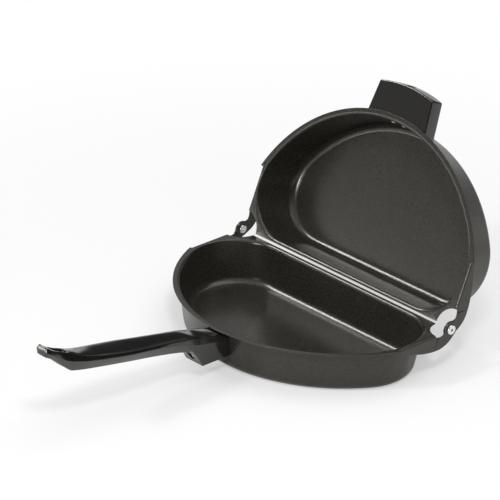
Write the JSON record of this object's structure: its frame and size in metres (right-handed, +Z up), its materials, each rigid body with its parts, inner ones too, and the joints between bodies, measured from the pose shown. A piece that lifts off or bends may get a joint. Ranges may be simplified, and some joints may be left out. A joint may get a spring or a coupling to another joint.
{
  "type": "omelette pan",
  "caption": "Folding omelette pan with D-shaped non-stick halves hinged on their straight edges, a long moulded handle and a short lid grip; folds shut and opens flat.",
  "frame": {"origin": "middle of the lower half's flat underside, on the table", "axes": "+Z up; +X along the hinge line, so that the object is symmetric about the plane x = 0; +Y from the long handle towards the hinge, so the long handle points to -Y. The lid stands open at 113.7 degrees as in the picture."},
  "size_m": [0.2356, 0.3728, 0.1742],
  "materials": {
    "coated_steel": "dark grey non-stick coating, satin, finely speckled",
    "phenolic": "moulded black phenolic, glossy",
    "bright_steel": "bright nickel-plated steel",
    "bracket_steel": "plain zinc-plated steel"
  },
  "bodies": {
    "lower": {"lower_pan": "coated_steel", "main_handle": "phenolic", "handle_bracket": "bracket_steel", "handle_screw": "bright_steel", "handle_rivet_right": "bright_steel", "handle_rivet_left": "bright_steel", "hinge_rivet_right": "bright_steel", "hinge_rivet_left": "bright_steel"},
    "lid": {"upper_pan": "coated_steel", "lid_grip": "phenolic", "grip_bracket": "bracket_steel", "grip_screw": "bright_steel", "grip_rivet_right": "bright_steel", "grip_rivet_left": "bright_steel"}
  },
  "joints": [
    {"name": "lid_hinge", "type": "hinge", "parent": "lower", "child": "lid", "pos_m": [0, 0.0645, 0.034], "axis": [1, 0, 0], "range_deg": [-66.3, 112.8]}
  ]
}
